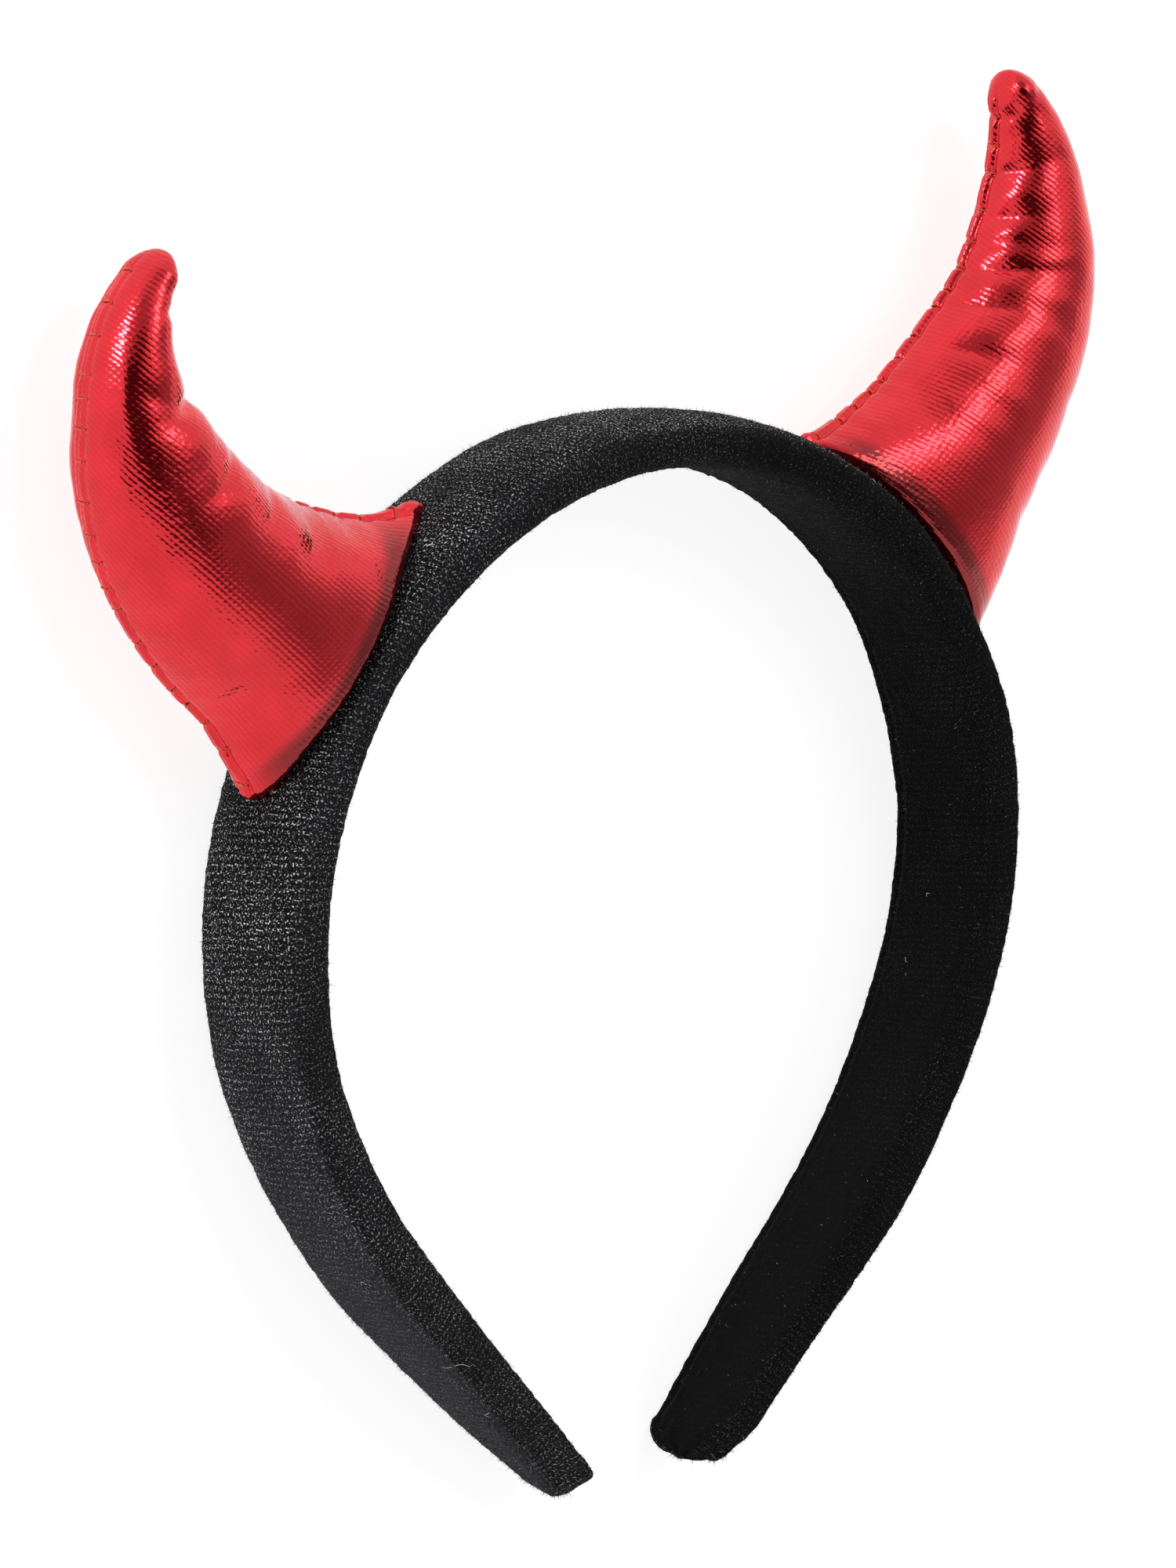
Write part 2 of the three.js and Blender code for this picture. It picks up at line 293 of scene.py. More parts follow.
class Band:
    """The band's middle line and its section sizes, in the frame whose origin
    is on the crown's middle line."""

    def __init__(self, size):
        mids = (np.arange(PATH_STEPS) + 0.5) / PATH_STEPS
        self.size = size
        self.half = size.length / 2
        self.line = walked(np.zeros(2), self.half, -np.radians(follow(BAND_ROWS, mids)[:, 0]))
        self.tilt = (self.middle(0.0) - self.middle(1.0)) / -self.line[-1, 1]
        low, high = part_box("headband")
        top = self.size.thickness * BAND_ROWS[0, 3] / 2
        self.shift = np.array([(low[0] + high[0]) / 2, high[1] - top, 0.0])

    def heading(self, along):
        return np.radians(follow(BAND_ROWS, along)[..., 0])

    def half_width(self, along):
        return follow(BAND_ROWS, along)[..., 1] * self.size.width / 2

    def half_thickness(self, along):
        return follow(BAND_ROWS, along)[..., 2] * self.size.thickness / 2

    def middle(self, along):
        """Height of the middle line: half the width, less the squash."""
        return self.half_width(along) - self.size.squash

    def middle_at(self, y):
        """Height of the plane through the middle of the crown and the tips."""
        return self.middle(0.0) + self.tilt * y

    def outer_face(self, along, up):
        """How far the outer face is from the middle line at a height: the
        superellipse of the section, solved for its outward half."""
        share = np.clip(np.abs(up) / self.half_width(along), 0, 1)
        return self.half_thickness(along) * (1 - share**BAND_OUTER_POWER) ** (1 / BAND_OUTER_POWER)

    def point(self, run, out, up):
        """Point at a run of -1 (left tip) to 1 (right tip), so far out from the
        middle line and up from it."""
        along, side = np.abs(run), np.where(run < 0, -1, 1)
        heading, middle = self.heading(along), on_line(self.line, along)
        x = side * (middle[..., 0] + np.sin(heading) * out)
        y = middle[..., 1] + np.cos(heading) * out
        return np.stack(np.broadcast_arrays(x, y, self.middle(along) + up), axis=-1)

    def locate(self, points):
        """Share along the half arch, distance out and height of points on its
        right-hand side, from the nearest step of the middle line."""
        gap = points[..., None, :2] - self.line
        nearest = np.argmin((gap**2).sum(axis=-1), axis=-1)
        along = nearest / PATH_STEPS
        heading = self.heading(along)
        gap = points[..., :2] - self.line[nearest]
        ahead = gap[..., 0] * np.cos(heading) - gap[..., 1] * np.sin(heading)
        out = gap[..., 0] * np.sin(heading) + gap[..., 1] * np.cos(heading)
        along = np.clip(along + ahead / self.half, 0, 1)
        return along, out, points[..., 2] - self.middle(along)


def band_grid(band):
    """Rings of the band from tip to tip. A ring is a superellipse, half the
    width by half the thickness, rounded off towards each tip. Soft noise,
    the pile and the sewn seam are added along the normals. With them come two
    shares for each point: 1 on the outer face, falling to 0 towards the inner
    one, and 1 on the front and back edges, falling to 0 on both faces."""
    tip = band.size.tip_rounding / band.half
    ends = tip * (1 - np.cos(math.pi / 2 * np.arange(1, BAND_TIP_STATIONS) / BAND_TIP_STATIONS)) - 1
    run = np.concatenate([ends, np.linspace(tip - 1, 1 - tip, BAND_STATIONS), -ends[::-1]])[:, None]
    angle = BAND_SEAM_ANGLE + 2 * math.pi * np.arange(BAND_SIDES) / BAND_SIDES
    along = np.abs(run)
    left = (1 - along) * band.half
    limb = smooth_step(along, LIMB_START, LIMB_END)
    power = np.where(np.cos(angle) > 0, BAND_OUTER_POWER, BAND_INNER_POWER)
    limb_power = np.where(np.sin(angle) > 0, BAND_LIMB_POWER, BAND_LIMB_BACK_POWER)
    power = 2 / (power + (limb_power - power) * limb)
    thick = band.half_thickness(along) * (1 + (BAND_LIMB_SHARE - 1) * limb)
    skew = np.where(run < 0, 2.2 - 1.6 * np.sin(angle), 1.1 + 0.45 * np.sin(angle))
    out, up = bend(np.cos(angle), power), bend(np.sin(angle), power)
    outside, edge = smooth_step(out * thick, -0.5 * MM, 2.5 * MM), smooth_step(np.abs(up), 0.8, 0.93)
    slant = SLANT * (1 - smooth_step(left, 2 * MM, SLANT_START)) * (run < 0) * (up > 0)
    up = up * (1 - slant * (0.5 + 0.5 * out))
    out = thick * rounded_end(left, band.size.tip_rounding / 2) * out
    up = band.half_width(along) * rounded_end(left, band.size.tip_rounding * skew) * up
    grid = band.point(run, out, up)
    normal = outward(grid)
    tight = np.clip(left / (8 * MM), 0.15, 1)
    ragged = 1 - smooth_step(left, 1.5 * MM, 7 * MM)
    amount = 0.28 * MM * soft_noise(grid, 16 * MM, 3) * tight
    amount += 0.07 * MM * soft_noise(grid, 3.1 * MM, 4)
    amount += 0.10 * MM * soft_noise(grid, 0.8 * MM, 5)
    amount += 0.07 * MM * np.random.default_rng(6).uniform(-1, 1, amount.shape)
    amount += 0.4 * MM * soft_noise(grid, 1.7 * MM, 7) * ragged
    seam = arc_round(grid)[:, :-1]
    seam = np.minimum(seam, arc_round(grid)[:, -1:] - seam)
    amount -= 0.45 * MM * bell(seam, 0.7 * MM) * tight
    amount += 0.16 * MM * bell(seam - 1.3 * MM, 0.6 * MM) * tight
    grid = grid + normal * amount[..., None]
    grid[..., 2] = np.maximum(grid[..., 2], 0)
    return grid, (run * band.half)[:, 0], outside, edge


def surface_paths(grid, run, rows):
    """Wavy lines over the band's skin, a little above it. A row gives the run,
    the degrees round the section, the heading, the length and the wave."""
    place, angle, heading, length, wave = rows.T[..., None]
    step = np.linspace(-0.5, 0.5, 13)
    ahead, aside = length * step, wave * np.sin(6.9 * step + place)
    heading = np.radians(heading)
    row = np.interp((place + ahead * np.cos(heading) - aside * np.sin(heading)) * MM, run, np.arange(len(run)))
    column = (np.radians(angle) - BAND_SEAM_ANGLE) / (2 * math.pi) * BAND_SIDES % BAND_SIDES
    each = np.linalg.norm(sampled(grid, row, column + 0.5) - sampled(grid, row, column - 0.5), axis=-1)
    column = column + (ahead * np.sin(heading) + aside * np.cos(heading)) * MM / each
    return sampled(grid, row, column) + sampled(outward(grid), row, column) * 0.12 * MM


def pile_tufts(grid, outside, count):
    """Corners of thin spikes that stand on the band: a base triangle just
    under the surface and a tip that leans. Places are drawn at random, three
    times as many on the outer face, and they are longer at the tips."""
    random = np.random.default_rng(8)
    row = random.uniform(0, len(grid) - 1.001, 3 * count)
    column = random.uniform(0, grid.shape[1], 3 * count)
    spread = np.linalg.norm(np.diff(grid.mean(axis=1), axis=0), axis=-1)
    spread = np.append(spread, spread[-1:]) / spread.max()
    keep = random.uniform(0, 1, 3 * count) < (0.3 + 0.7 * sampled(outside[..., None], row, column)[:, 0]) * spread[row.astype(int)]
    row, column = row[keep][:count], column[keep][:count]
    place, normal = sampled(grid, row, column), sampled(outward(grid), row, column)
    lean = random.normal(0, 0.55, (len(row), 3))
    length = random.uniform(0.15, 0.42, len(row)) * np.where(np.abs(row / len(grid) - 0.5) > 0.483, 1.7, 1)
    tip = place + (normal + lean) * length[:, None] * MM
    side = np.cross(normal, random.normal(0, 1, (len(row), 3)))
    side /= np.linalg.norm(side, axis=-1, keepdims=True)
    other = np.cross(normal, side)
    turn = 2 * math.pi * np.arange(3) / 3
    base = side[:, None] * np.cos(turn)[:, None] + other[:, None] * np.sin(turn)[:, None]
    base = (place - normal * 0.08 * MM)[:, None] + base * random.uniform(0.025, 0.06, (len(row), 1, 1)) * MM
    tip[:, 2] = np.maximum(tip[:, 2], 0)
    base[..., 2] = np.maximum(base[..., 2], 0)
    return np.concatenate([base, tip[:, None]], axis=1)


class Horn:
    """One horn: its middle line, its section sizes and its dents, on the
    right-hand half of the arch. `side` puts it on its own half."""

    def __init__(self, band, size, side, length, station, lean, seam_turns, ear, rows, dents):
        self.band, self.size, self.side = band, size, side
        self.length, self.station, self.lean, self.seam_turns = length, station, lean, np.radians(seam_turns)
        self.ear, self.rows, self.dents = ear, rows, dents
        mids = (np.arange(PATH_STEPS) + 0.5) / PATH_STEPS
        self.line = walked(on_line(band.line, station), length, self.heading(mids))

    def heading(self, along):
        upright = math.pi / 2 - self.band.heading(self.station)
        return upright + np.radians(self.lean + follow(self.rows, along)[..., 0])

    def half_depth(self, along):
        full = rounded_end((1 - along) * self.length, HORN_TIP_ROUNDING) * HORN_FULLNESS
        return follow(self.rows, along)[..., 2] * self.size.depth / 2 * full

    def half_width(self, along):
        full = rounded_end((1 - along) * self.length, HORN_TIP_ROUNDING) * HORN_FULLNESS
        return follow(self.rows, along)[..., 1] * self.size.foot / 2 * full

    def inner_side(self, along):
        """Unit direction in the arch's plane from the middle line to the inner seam."""
        heading = self.heading(along)
        return np.stack([-np.sin(heading), np.cos(heading)], axis=-1)

    def point(self, along, angle):
        """Point of the stuffed form at an angle from the inner seam: an ellipse
        whose seams have turned to the back, pinched between seams and panel
        middles. Near the foot, rings slide over to the band's curve."""
        back = self.seam_turns[1] * (1 - np.cos(angle)) / 2 - self.seam_turns[0] * (1 + np.cos(angle)) / 2
        turned = angle + back * smooth_step(along, 0, TWIST_END)
        pinch = 1 - HORN_PINCH * (1 - np.cos(2 * angle) ** 2)
        middle, across = on_line(self.line, along), np.cos(turned) * pinch
        straight = middle + self.inner_side(along) * (across * self.half_width(along))[..., None]
        ear = self.size.ear * (1 - smooth_step(along, 0, EAR_END)) * np.maximum(across, 0) ** EAR_POWER
        shift = (across * self.size.foot / 2 + ear) / self.band.half
        seated = on_line(self.band.line, self.station - shift) + middle - self.line[0]
        share = smooth_step(along, 0, FOOT_BLEND)[..., None]
        flat = seated + (straight - seated) * share
        depth = self.half_depth(along) * np.sin(turned) * pinch
        return np.concatenate([flat, (self.band.middle_at(flat[..., 1]) + depth)[..., None]], axis=-1)

    def foot(self, angle):
        """Share along the horn at which each column leaves the band, growing
        by the seat gap: where its distance out passes the outer face."""
        along = np.linspace(0, 0.45, 181)[:, None] + 0 * angle
        where, out, up = self.band.locate(self.point(along, angle + 0 * along))
        clear = out - self.band.outer_face(where, up) - self.size.seat_gap
        first = np.argmax(clear > 0, axis=0)
        column = np.arange(len(angle))
        low, high = clear[first - 1, column], clear[first, column]
        start, end = along[first - 1, column], along[first, column]
        return start + (end - start) * -low / (high - low)


def uneven(run):
    """Distance along a seam as the hand sewed it: the true one, plus two
    slow waves that make stitches longer and shorter."""
    return run + 0.8 * MM * np.sin(run * 270 + 1.3) + 0.4 * MM * np.sin(run * 650)


def horn_angles(half_depth):
    """Angles round a horn's rings. Near both seams their spacing is a fixed
    distance, and the rest of each quarter is divided evenly."""
    scale = np.minimum(1, half_depth / RIM_FULL_DEPTH)[:, None]
    near = RIM_STEPS * scale / half_depth[:, None]
    share = np.linspace(0, 1, PANEL_STEPS + 1)[1:]
    far = near[:, -1:] + (math.pi / 2 - near[:, -1:]) * share
    quarter = np.concatenate([near, far], axis=1)
    front = np.concatenate([quarter, math.pi - quarter[:, -2::-1]], axis=1)
    return np.concatenate([front, math.pi + front[:, 1:-1]], axis=1)


def sampled(values, row, column):
    """Values of a grid that is closed round, between its rows and columns:
    the four nearest, blended by how near they are."""
    i = np.clip(np.floor(row).astype(int), 0, len(values) - 2)
    j = np.floor(column).astype(int)
    s, t = (row - i)[..., None], (column - j)[..., None]
    j, k = j % values.shape[1], (j + 1) % values.shape[1]
    return ((values[i, j] * (1 - s) + values[i + 1, j] * s) * (1 - t)
            + (values[i, k] * (1 - s) + values[i + 1, k] * s) * t)


def blurred(values, rows, columns):
    """Each value's average over its neighbours on a grid that is closed round,
    weighted by a bell of that many rows and columns."""
    i, j = np.arange(values.shape[0]), np.arange(values.shape[1])
    down = bell(i[:, None] - i, rows)
    gap = np.abs(j[:, None] - j)
    across = bell(np.minimum(gap, len(j) - gap), columns)
    down /= down.sum(axis=1, keepdims=True)
    across /= across.sum(axis=1, keepdims=True)
    return np.einsum("ab,cd,bdk->ack", down, across, values)


def stuffing(horn):
    """How far stuffing moves each point of a horn's cloth, from a cloth
    simulation: cloth a little too large, sewn down at its foot and at every
    pull of the thread, blown up from inside. What is left after its average
    over a wide patch is taken away are the bulges and wrinkles."""
    share = np.linspace(0, CLOTH_END, CLOTH_ROWS)
    angle = 2 * math.pi * np.arange(CLOTH_SIDES) / CLOTH_SIDES
    start = horn.foot(angle)
    along = start + (1 - start) * share[:, None]
    grid = horn.point(along, angle + 0 * along)
    points = np.concatenate([grid.reshape(-1, 3), [grid[0].mean(axis=0), grid[-1].mean(axis=0)]])
    quads, fans = skin_faces(*grid.shape[:2])
    if signed_volume(points, quads, fans) < 0:
        quads, fans = quads[:, ::-1], fans[:, ::-1]
    mesh = bpy.data.meshes.new("stuffing")
    mesh.from_pydata((points * CLOTH_SCALE).tolist(), [], quads.tolist() + fans.tolist())
    cloth = bpy.data.objects.new("stuffing", mesh)
    bpy.context.collection.objects.link(cloth)

    rows = np.arange(CLOTH_ROWS)[:, None] + 0 * along.astype(int)
    length = along * horn.length
    seam = np.minimum(np.abs(np.sin(angle / 2)), np.abs(np.cos(angle / 2))) < 0.01
    pull = np.abs((length + horn.size.stitch_pitch / 2) % horn.size.stitch_pitch - horn.size.stitch_pitch / 2)
    hold = np.where(seam & (pull < 0.5 * MM), 1.0, np.where(seam, 0.6, 0.0))
    hold = np.maximum(hold, rows < 2)
    hold = np.maximum(hold, rows > CLOTH_ROWS - 3)
    inner = smooth_step(np.cos(angle), -0.2, 0.9) + 0 * along
    pinned, spare = cloth.vertex_groups.new(name="pinned"), cloth.vertex_groups.new(name="spare")
    pinned.add([len(points) - 2, len(points) - 1], 1.0, "REPLACE")
    for value in np.unique(hold[hold > 0]):
        pinned.add(np.flatnonzero(hold.ravel() == value).tolist(), float(value), "REPLACE")
    levels = np.round(inner * 10).astype(int)
    for level in range(1, 11):
        spare.add(np.flatnonzero(levels.ravel() == level).tolist(), level / 10, "REPLACE")

    modifier = cloth.modifiers.new("stuffing", "CLOTH")
    settings = modifier.settings
    settings.quality = 6
    settings.mass = 0.3
    settings.tension_stiffness = settings.compression_stiffness = 25
    settings.shear_stiffness = 10
    settings.bending_stiffness = CLOTH_BENDING
    settings.use_pressure = True
    settings.uniform_pressure_force = CLOTH_PRESSURE
    settings.vertex_group_mass = "pinned"
    settings.pin_stiffness = 5
    settings.vertex_group_shrink = "spare"
    settings.shrink_min, settings.shrink_max = -CLOTH_SPARE_LEAST, -CLOTH_SPARE_MOST
    settings.effector_weights.gravity = 0
    modifier.collision_settings.use_collision = False
    modifier.point_cache.frame_start, modifier.point_cache.frame_end = 1, CLOTH_FRAMES
    scene = bpy.context.scene
    for frame_number in range(1, CLOTH_FRAMES + 1):
        scene.frame_set(frame_number)
    shaped = cloth.evaluated_get(bpy.context.evaluated_depsgraph_get())
    flat = np.empty(len(points) * 3, dtype=np.float32)
    shaped.data.vertices.foreach_get("co", flat)
    bpy.data.objects.remove(cloth)
    bpy.data.meshes.remove(mesh)
    scene.frame_set(1)
    moved = flat.reshape(-1, 3)[:-2].reshape(grid.shape) / CLOTH_SCALE - grid
    moved = blurred(moved, 2.0, 1.5) - blurred(moved, 14, 9)
    size = np.linalg.norm(moved, axis=-1, keepdims=True)
    return moved / np.sqrt(1 + (size / STUFFING_CAP) ** 2)


def horn_grid(horn):
    """Rings of a horn from its foot to its tip, with everything that sewing and stuffing do to them,
    the panel place of each point for the cloth, and a share for painted shade along the foot."""
    body = horn.length * 0.93
    tip = HORN_TIP_ROUNDING / body
    hem_and_painted_shade = HEM_STEPS / body
    share = np.concatenate([
        hem_and_painted_shade,
        np.linspace(hem_and_painted_shade[-1], 1 - tip, HORN_STATIONS)[1:],
        1 - tip * (1 - np.sin(math.pi / 2 * np.arange(1, HORN_TIP_STATIONS) / HORN_TIP_STATIONS)),
    ])
    angle = horn_angles(horn.half_depth(share))
    start = horn.foot(angle[0])
    along = start + (1 - start) * share[:, None]
    grid = horn.point(along, angle)
    row = np.minimum(share / CLOTH_END, 1)[:, None] * (CLOTH_ROWS - 1) + 0 * angle
    slender = np.minimum(1, horn.half_depth(along) / STUFFING_FULL_DEPTH)[..., None]
    grid = grid + sampled(stuffing(horn), row, angle / (2 * math.pi) * CLOTH_SIDES) * slender
    normal = outward(grid)
    half_depth = horn.half_depth(along)
    scale = np.minimum(1, half_depth / RIM_FULL_DEPTH)
    across = np.cos(angle)

    # Flat cloth: distance along the middle line, and round the panel
    turn = grid.shape[1] // 2
    arc = arc_round(grid)
    front, back = arc[:, :turn + 1], arc[:, -1:] - arc[:, turn:]
    cloth = []
    for panel, columns in ((front, range(turn + 1)), (back, range(turn, 2 * turn + 1))):
        place = along[:, [k % (2 * turn) for k in columns]]
        off = panel.max(axis=1, keepdims=True) / 2 - panel
        cloth.append(on_line(horn.line, place) + horn.inner_side(place) * off[..., None])
    length = along * horn.length
    q = np.concatenate([front, back[:, 1:-1]], axis=1)
    middle_off = q / np.concatenate([front, back], axis=1).max(axis=1, keepdims=True)

    # Dents and bulges of the front panel, and their like behind
    amount = np.zeros_like(along)
    for where, over, slant, long, wide, depth in horn.dents:
        a = length - where * horn.length
        b = (middle_off - over) * front.max(axis=1, keepdims=True)
        slant = math.radians(slant)
        u, v = a * math.cos(slant) + b * math.sin(slant), b * math.cos(slant) - a * math.sin(slant)
        amount -= depth * MM * bell(u, long * MM) * bell(v, wide * MM)

    # Rim, sewn groove, scallops between stitches, and puckers behind them
    from_seam = half_depth * np.abs(np.sin(angle)) / np.maximum(scale, 1e-6)
    stitch = []
    for column in (0, turn):
        steps = np.linalg.norm(np.diff(grid[:, column], axis=0), axis=-1)
        stitch.append(uneven(np.concatenate([[0], np.cumsum(steps)])))
    seam_run = np.where(across > 0, stitch[0][:, None], stitch[1][:, None])
    pitch = horn.size.stitch_pitch
    node = bell((seam_run + pitch / 2) % pitch - pitch / 2, 0.11 * pitch)
    open_ = smooth_step(length, 1 * MM, 5 * MM) * smooth_step(horn.length - length, 1 * MM, 4 * MM)
    snug = np.where(across > 0, 1.0, 0.35 + 0.5 * smooth_step(1 - along, 0.35, 0.75))
    amount += scale * snug * MM * (0.24 * bell(from_seam - 0.55 * MM, 0.45 * MM) * (1 - 0.9 * node)
                                   - (0.34 + 0.3 * node) * bell(from_seam - 1.3 * MM, 0.38 * MM)) * open_
    wave = np.cos(2 * math.pi * seam_run / pitch + 1.5 * soft_noise(grid, 7 * MM, 11))
    pucker = np.where(across > 0, 0.15 * np.exp(-from_seam / (3 * MM)), 0.08 * np.exp(-from_seam / (2.5 * MM)))
    amount -= MM * scale * pucker * wave * smooth_step(from_seam, 1 * MM, 2 * MM) * open_

    # Soft unevenness of the stuffing
    amount += 0.16 * MM * soft_noise(grid, 9 * MM, 21 + horn.side) * scale
    amount += 0.05 * MM * soft_noise(grid, 3.3 * MM, 31 + horn.side) * scale

    # Rolled hem along the foot
    up_horn = (along - start) * horn.length
    amount += MM * (0.3 * bell(up_horn - 1.9 * MM, 1.1 * MM) - 0.8 * bell(up_horn, 0.8 * MM))
    amount *= smooth_step(horn.length - length, 0.2 * MM, 2 * MM)
    grid = grid + normal * amount[..., None]

    # The rim stands out in the arch's plane, and each stitch pulls it in
    stand = MM * scale * snug * bell(from_seam, 0.9 * MM) * (0.3 - 0.42 * node) * open_
    seams = grid[:, [0, turn]] - grid.mean(axis=1, keepdims=True)
    seams /= np.linalg.norm(seams, axis=-1, keepdims=True)
    grid = grid + np.where(across[..., None] > 0, seams[:, :1], seams[:, 1:]) * stand[..., None]

    # The corner of the foot at the inner seam is drawn out along the band
    ear = horn.ear * MM * bell(up_horn, 2.6 * MM) * np.exp(-from_seam / (2.4 * MM)) * (across > 0)
    grid = grid + seams[0, 0] * ear[..., None]
    # Painted shade: a share that darkens the foil near the foot. It fades out from 3.5 to 5.6 mm above the foot and
    # near the seams, where the cloth turns under towards the band and reflects the black velvet
    hem_and_painted_shade = (1 - smooth_step(up_horn, 3.5 * MM, 5.6 * MM)) * smooth_step(from_seam, 1 * MM, 7 * MM)
    cloth = [panel * np.array([horn.side, 1]) for panel in cloth]
    return grid, cloth, stitch, hem_and_painted_shade


def horn_cap(horn, ring):
    """Rings that close a horn's foot: the foot's ring drawn in to its middle,
    at the seat gap from the band's outer face."""
    along, out, up = horn.band.locate(ring)
    centre = np.array([along.mean(), up.mean()])
    share = (np.arange(CAP_STATIONS) / CAP_STATIONS)[:, None]
    along, up = centre[0] + (along - centre[0]) * share, centre[1] + (up - centre[1]) * share
    out = np.maximum(horn.band.outer_face(along, up) + horn.size.seat_gap * 0.7, 0)
    points = horn.band.point(along, out, up)
    return points[0, 0], points[1:]


def placed(horn, points):
    """Points of the right-hand half put on the horn's own side, above the floor."""
    points = points * np.array([horn.side, 1, 1])
    points[..., 2] = np.maximum(points[..., 2], 0)
    return points + horn.band.shift


def skin_faces(rows, sides, first=0):
    """Quads between closed rings, and fans from the two poles, which come
    after the rings."""
    i, j = np.meshgrid(np.arange(rows - 1), np.arange(sides), indexing="ij")
    a, b = first + i * sides + j, first + i * sides + (j + 1) % sides
    quads = np.stack([a, b, b + sides, a + sides], axis=-1).reshape(-1, 4)
    j = np.arange(sides)
    start, end = first + rows * sides, first + rows * sides + 1
    last = first + (rows - 1) * sides
    fans = np.concatenate([
        np.stack([start + 0 * j, first + (j + 1) % sides, first + j], axis=-1),
        np.stack([end + 0 * j, last + j, last + (j + 1) % sides], axis=-1),
    ])
    return quads, fans


def signed_volume(points, quads, fans):
    """Volume inside a closed mesh: a sixth of the sum of each triangle's
    scalar triple product; negative if its faces point inwards."""
    tris = np.concatenate([quads[:, :3], quads[:, [0, 2, 3]], fans])
    a, b, c = (points[tris[:, k]] for k in range(3))
    return (a * np.cross(b, c)).sum() / 6


def add_piece(name, points, quads, fans, material, cloth=None):
    """Mesh object at the origin from points and faces, faces turned outwards.
    `cloth` holds a UV for each corner of each face."""
    corners = [cloth[0], cloth[1]] if cloth is not None else None
    if signed_volume(points, quads, fans) < 0:
        quads, fans = quads[:, ::-1], fans[:, ::-1]
        if corners:
            corners = [corner[:, ::-1] for corner in corners]
    mesh = bpy.data.meshes.new(name)
    mesh.from_pydata(points.tolist(), [], quads.tolist() + fans.tolist())
    if corners:
        layer = mesh.uv_layers.new(name="cloth")
        flat = np.concatenate([corner.reshape(-1, 2) for corner in corners])
        layer.data.foreach_set("uv", flat.astype(np.float32).ravel())
    mesh.polygons.foreach_set("use_smooth", np.ones(len(mesh.polygons), dtype=bool))
    mesh.materials.append(material)
    mesh.update()
    piece = bpy.data.objects.new(name, mesh)
    bpy.context.collection.objects.link(piece)
    return piece


def grid_corners(left, right, start, end):
    """UVs of each quad's corners from those of its left and right edges, and
    of the fans from the two poles'."""
    quads = np.stack([left[:-1], right[:-1], right[1:], left[1:]], axis=2).reshape(-1, 4, 2)
    one, two = np.broadcast_to(start, left[0].shape), np.broadcast_to(end, left[0].shape)
    fans = np.concatenate([np.stack([one, right[0], left[0]], axis=1), np.stack([two, left[-1], right[-1]], axis=1)])
    return quads, fans


def add_strands(name, paths, radius, sides, material):
    """Round strands, one for each path of points: rings of the given radii in
    the plane across the path, closed by a pole at each end."""
    count, steps = paths.shape[:2]
    tangent = np.gradient(paths, axis=1)
    tangent /= np.linalg.norm(tangent, axis=-1, keepdims=True) + 1e-12
    reference = np.where(np.abs(tangent[..., 2:]) > 0.9, np.array([1.0, 0, 0]), np.array([0, 0, 1.0]))
    one = np.cross(tangent, reference)
    one /= np.linalg.norm(one, axis=-1, keepdims=True)
    two = np.cross(tangent, one)
    turn = 2 * math.pi * np.arange(sides) / sides
    ring = one[:, :, None] * np.cos(turn)[:, None] + two[:, :, None] * np.sin(turn)[:, None]
    rings = paths[:, :, None] + ring * np.broadcast_to(radius, (count, steps))[..., None, None]
    points = np.concatenate([rings.reshape(count, -1, 3), paths[:, :1], paths[:, -1:]], axis=1)
    each = points.shape[1]
    quads, fans = skin_faces(steps, sides)
    first = (np.arange(count) * each)[:, None, None]
    return add_piece(name, points.reshape(-1, 3), (quads + first).reshape(-1, 4),
                     (fans + first).reshape(-1, 3), material)


